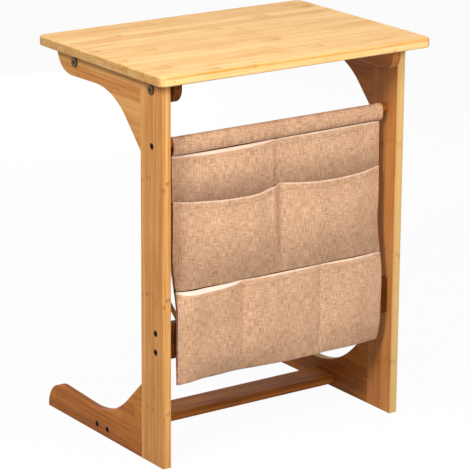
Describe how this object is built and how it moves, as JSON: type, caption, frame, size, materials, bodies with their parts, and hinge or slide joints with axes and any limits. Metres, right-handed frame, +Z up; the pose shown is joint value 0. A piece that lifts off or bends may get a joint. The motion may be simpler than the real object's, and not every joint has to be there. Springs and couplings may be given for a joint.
{
  "type": "sofa side table with hanging magazine bag",
  "caption": "C-shaped bamboo sofa side table with a cloth magazine bag hanging from a rod between its uprights.",
  "frame": {"origin": "on the floor, in the middle of the footprint", "axes": "+X to the right as seen from the front, +Y from the bag at the front to the open back, +Z up"},
  "size_m": [0.5, 0.374, 0.62],
  "materials": {
    "bamboo": "satin clear coat",
    "dark_screw": "black oxide",
    "bronzed_bolt": "bronzed, satin",
    "bag_cloth": "coarse linen weave",
    "strap_cloth": "woven hook and loop tape"
  },
  "bodies": {
    "frame": {"table_top": "bamboo", "bag_rod": "bamboo", "lower_rail": "bamboo", "bottom_stretcher": "bamboo", "left_upright": "bamboo", "left_arm": "bamboo", "left_foot": "bamboo", "left_foot_gusset": "bamboo", "left_cleat": "bamboo", "right_upright": "bamboo", "right_arm": "bamboo", "right_foot": "bamboo", "right_foot_gusset": "bamboo", "right_cleat": "bamboo", "rod_screws": "dark_screw", "rail_screws": "dark_screw", "stretcher_screws": "dark_screw", "cleat_bolts": "bronzed_bolt"},
    "bag": {"bag_back": "bag_cloth", "upper_pockets": "bag_cloth", "middle_pockets": "bag_cloth", "lower_pockets": "bag_cloth", "left_strap": "strap_cloth", "right_strap": "strap_cloth"}
  },
  "joints": [
    {"name": "bag_swing", "type": "hinge", "parent": "frame", "child": "bag", "pos_m": [0, -0.123, 0.501], "axis": [-1, 0, 0], "range_deg": [0, 70]}
  ]
}
